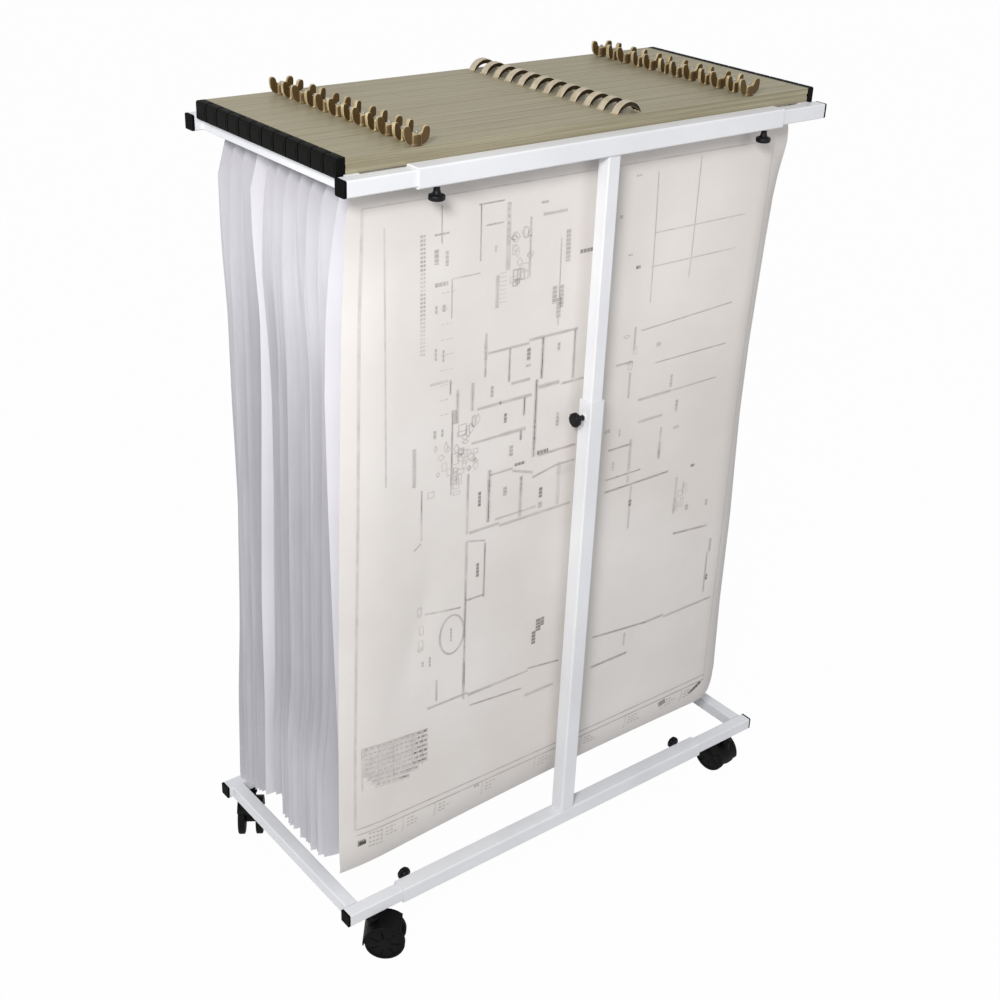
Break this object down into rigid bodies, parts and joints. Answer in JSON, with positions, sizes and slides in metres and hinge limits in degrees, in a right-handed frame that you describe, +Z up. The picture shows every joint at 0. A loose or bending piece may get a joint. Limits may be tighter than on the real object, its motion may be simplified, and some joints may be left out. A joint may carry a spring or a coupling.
{
  "type": "plan hanging rack",
  "caption": "Mobile white tube rack with telescoping rails and posts, swivel casters, and bar clamps that hang large plan sheets over its top rails.",
  "frame": {"origin": "on the floor, under the centre of the bounding box", "axes": "+Z up, +X along the hanging clamps, +Y from the front post to the rear post"},
  "size_m": [1.0476, 0.5594, 1.5171],
  "materials": {
    "frame_paint": "white powder coat, semi-gloss",
    "black_plastic": "moulded, slightly glossy",
    "cap_plastic": "moulded, matt",
    "caster_housing": "moulded, slightly glossy",
    "caster_wheel": "hard tread, satin",
    "clamp_aluminium": "extruded, satin anodised grey-tan",
    "nut_brass": "cast, dull brass",
    "plan_paper": "matt paper"
  },
  "bodies": {
    "lower_frame": {"front_base_sleeve": "frame_paint", "rear_base_sleeve": "frame_paint", "front_lower_post": "frame_paint", "rear_lower_post": "frame_paint"},
    "upper_frame": {"front_top_sleeve": "frame_paint", "rear_top_sleeve": "frame_paint", "front_upper_post": "frame_paint", "rear_upper_post": "frame_paint"},
    "base_left": {"base_left_end": "frame_paint", "base_left_caps": "cap_plastic"},
    "base_right": {"base_right_end": "frame_paint", "base_right_caps": "cap_plastic"},
    "top_left": {"top_left_end": "frame_paint", "top_left_caps": "cap_plastic"},
    "top_right": {"top_right_end": "frame_paint", "top_right_caps": "cap_plastic"},
    "knob_base_front_left": {"knob_base_front_left": "black_plastic"},
    "knob_top_front_left": {"knob_top_front_left": "black_plastic"},
    "knob_base_front_right": {"knob_base_front_right": "black_plastic"},
    "knob_top_front_right": {"knob_top_front_right": "black_plastic"},
    "knob_post_front": {"knob_post_front": "black_plastic"},
    "knob_base_rear_left": {"knob_base_rear_left": "black_plastic"},
    "knob_top_rear_left": {"knob_top_rear_left": "black_plastic"},
    "knob_base_rear_right": {"knob_base_rear_right": "black_plastic"},
    "knob_top_rear_right": {"knob_top_rear_right": "black_plastic"},
    "knob_post_rear": {"knob_post_rear": "black_plastic"},
    "caster_front_left": {"caster_front_left": "caster_housing"},
    "wheels_front_left": {"wheels_front_left": "caster_wheel"},
    "caster_rear_left": {"caster_rear_left": "caster_housing"},
    "wheels_rear_left": {"wheels_rear_left": "caster_wheel"},
    "caster_front_right": {"caster_front_right": "caster_housing"},
    "wheels_front_right": {"wheels_front_right": "caster_wheel"},
    "caster_rear_right": {"caster_rear_right": "caster_housing"},
    "wheels_rear_right": {"wheels_rear_right": "caster_wheel"},
    "clamp_01": {"clamp_01": "clamp_aluminium", "plans_01": "plan_paper"},
    "clamp_02": {"clamp_02": "clamp_aluminium", "plans_02": "plan_paper"},
    "clamp_03": {"clamp_03": "clamp_aluminium", "plans_03": "plan_paper"},
    "clamp_04": {"clamp_04": "clamp_aluminium", "plans_04": "plan_paper"},
    "clamp_05": {"clamp_05": "clamp_aluminium", "plans_05": "plan_paper"},
    "clamp_06": {"clamp_06": "clamp_aluminium", "plans_06": "plan_paper"},
    "clamp_07": {"clamp_07": "clamp_aluminium", "plans_07": "plan_paper"},
    "clamp_08": {"clamp_08": "clamp_aluminium", "plans_08": "plan_paper"},
    "clamp_09": {"clamp_09": "clamp_aluminium", "plans_09": "plan_paper"},
    "clamp_10": {"clamp_10": "clamp_aluminium", "plans_10": "plan_paper"},
    "clamp_11": {"clamp_11": "clamp_aluminium", "plans_11": "plan_paper"},
    "clamp_12": {"clamp_12": "clamp_aluminium", "plans_12": "plan_paper"},
    "wing_nut_left": {"wing_nut_left": "nut_brass"},
    "wing_nut_right": {"wing_nut_right": "nut_brass"}
  },
  "joints": [
    {"name": "height_slide", "type": "slide", "parent": "lower_frame", "child": "upper_frame", "axis": [0, 0, 1], "range_m": [0, 0.1]},
    {"name": "base_left_slide", "type": "slide", "parent": "lower_frame", "child": "base_left", "axis": [-1, 0, 0], "range_m": [-0.045, 0.045]},
    {"name": "base_right_slide", "type": "slide", "parent": "lower_frame", "child": "base_right", "axis": [1, 0, 0], "range_m": [-0.045, 0.045]},
    {"name": "top_left_slide", "type": "slide", "parent": "upper_frame", "child": "top_left", "axis": [-1, 0, 0], "range_m": [-0.005, 0]},
    {"name": "top_right_slide", "type": "slide", "parent": "upper_frame", "child": "top_right", "axis": [1, 0, 0], "range_m": [-0.005, 0]},
    {"name": "knob_base_front_left_turn", "type": "hinge", "parent": "lower_frame", "child": "knob_base_front_left", "pos_m": [-0.369, -0.2071, 0.108], "axis": [0, 1, 0], "range_deg": [0, 720]},
    {"name": "knob_top_front_left_turn", "type": "hinge", "parent": "upper_frame", "child": "knob_top_front_left", "pos_m": [-0.3487, -0.223, 1.4355], "axis": [0, 0, -1], "range_deg": [0, 720]},
    {"name": "knob_base_front_right_turn", "type": "hinge", "parent": "lower_frame", "child": "knob_base_front_right", "pos_m": [0.335, -0.2071, 0.108], "axis": [0, 1, 0], "range_deg": [0, 720]},
    {"name": "knob_top_front_right_turn", "type": "hinge", "parent": "upper_frame", "child": "knob_top_front_right", "pos_m": [0.3493, -0.223, 1.4355], "axis": [0, 0, -1], "range_deg": [0, 720]},
    {"name": "knob_post_front_turn", "type": "hinge", "parent": "lower_frame", "child": "knob_post_front", "pos_m": [-0.0247, -0.223, 0.98], "axis": [-1, 0, 0], "range_deg": [0, 720]},
    {"name": "knob_base_rear_left_turn", "type": "hinge", "parent": "lower_frame", "child": "knob_base_rear_left", "pos_m": [-0.369, 0.2071, 0.108], "axis": [0, -1, 0], "range_deg": [0, 720]},
    {"name": "knob_top_rear_left_turn", "type": "hinge", "parent": "upper_frame", "child": "knob_top_rear_left", "pos_m": [-0.3487, 0.223, 1.4355], "axis": [0, 0, -1], "range_deg": [0, 720]},
    {"name": "knob_base_rear_right_turn", "type": "hinge", "parent": "lower_frame", "child": "knob_base_rear_right", "pos_m": [0.335, 0.2071, 0.108], "axis": [0, -1, 0], "range_deg": [0, 720]},
    {"name": "knob_top_rear_right_turn", "type": "hinge", "parent": "upper_frame", "child": "knob_top_rear_right", "pos_m": [0.3493, 0.223, 1.4355], "axis": [0, 0, -1], "range_deg": [0, 720]},
    {"name": "knob_post_rear_turn", "type": "hinge", "parent": "lower_frame", "child": "knob_post_rear", "pos_m": [-0.0247, 0.223, 0.98], "axis": [-1, 0, 0], "range_deg": [0, 720]},
    {"name": "swivel_front_left", "type": "hinge", "parent": "base_left", "child": "caster_front_left", "pos_m": [-0.465, -0.223, 0.0953], "axis": [0, 0, 1], "continuous": true},
    {"name": "roll_front_left", "type": "hinge", "parent": "caster_front_left", "child": "wheels_front_left", "pos_m": [-0.4455, -0.23865, 0.0375], "axis": [0.6259, 0.7799, 0], "continuous": true},
    {"name": "swivel_rear_left", "type": "hinge", "parent": "base_left", "child": "caster_rear_left", "pos_m": [-0.465, 0.223, 0.0953], "axis": [0, 0, 1], "continuous": true},
    {"name": "roll_rear_left", "type": "hinge", "parent": "caster_rear_left", "child": "wheels_rear_left", "pos_m": [-0.47875, 0.20212, 0.0375], "axis": [0.8351, -0.5501, 0], "continuous": true},
    {"name": "swivel_front_right", "type": "hinge", "parent": "base_right", "child": "caster_front_right", "pos_m": [0.465, -0.223, 0.0953], "axis": [0, 0, 1], "continuous": true},
    {"name": "roll_front_right", "type": "hinge", "parent": "caster_front_right", "child": "wheels_front_right", "pos_m": [0.4625, -0.19812, 0.0375], "axis": [-0.995, -0.1, 0], "continuous": true},
    {"name": "swivel_rear_right", "type": "hinge", "parent": "base_right", "child": "caster_rear_right", "pos_m": [0.465, 0.223, 0.0953], "axis": [0, 0, 1], "continuous": true},
    {"name": "roll_rear_right", "type": "hinge", "parent": "caster_rear_right", "child": "wheels_rear_right", "pos_m": [0.4455, 0.23865, 0.0375], "axis": [-0.6259, -0.7799, 0], "continuous": true},
    {"name": "clamp_01_lift", "type": "slide", "parent": "upper_frame", "child": "clamp_01", "axis": [0, 0, 1], "range_m": [0, 1.38]},
    {"name": "clamp_02_lift", "type": "slide", "parent": "upper_frame", "child": "clamp_02", "axis": [0, 0, 1], "range_m": [0, 1.38]},
    {"name": "clamp_03_lift", "type": "slide", "parent": "upper_frame", "child": "clamp_03", "axis": [0, 0, 1], "range_m": [0, 1.38]},
    {"name": "clamp_04_lift", "type": "slide", "parent": "upper_frame", "child": "clamp_04", "axis": [0, 0, 1], "range_m": [0, 1.38]},
    {"name": "clamp_05_lift", "type": "slide", "parent": "upper_frame", "child": "clamp_05", "axis": [0, 0, 1], "range_m": [0, 1.38]},
    {"name": "clamp_06_lift", "type": "slide", "parent": "upper_frame", "child": "clamp_06", "axis": [0, 0, 1], "range_m": [0, 1.38]},
    {"name": "clamp_07_lift", "type": "slide", "parent": "upper_frame", "child": "clamp_07", "axis": [0, 0, 1], "range_m": [0, 1.38]},
    {"name": "clamp_08_lift", "type": "slide", "parent": "upper_frame", "child": "clamp_08", "axis": [0, 0, 1], "range_m": [0, 1.38]},
    {"name": "clamp_09_lift", "type": "slide", "parent": "upper_frame", "child": "clamp_09", "axis": [0, 0, 1], "range_m": [0, 1.38]},
    {"name": "clamp_10_lift", "type": "slide", "parent": "upper_frame", "child": "clamp_10", "axis": [0, 0, 1], "range_m": [0, 1.38]},
    {"name": "clamp_11_lift", "type": "slide", "parent": "upper_frame", "child": "clamp_11", "axis": [0, 0, 1], "range_m": [0, 1.38]},
    {"name": "clamp_12_lift", "type": "slide", "parent": "upper_frame", "child": "clamp_12", "axis": [0, 0, 1], "range_m": [0, 1.38]},
    {"name": "wing_nut_left_turn", "type": "hinge", "parent": "clamp_01", "child": "wing_nut_left", "pos_m": [-0.3687, -0.19775, 1.4881], "axis": [0, 0, 1], "range_deg": [0, 720]},
    {"name": "wing_nut_right_turn", "type": "hinge", "parent": "clamp_01", "child": "wing_nut_right", "pos_m": [0.3253, -0.19775, 1.4881], "axis": [0, 0, 1], "range_deg": [0, 720]}
  ]
}
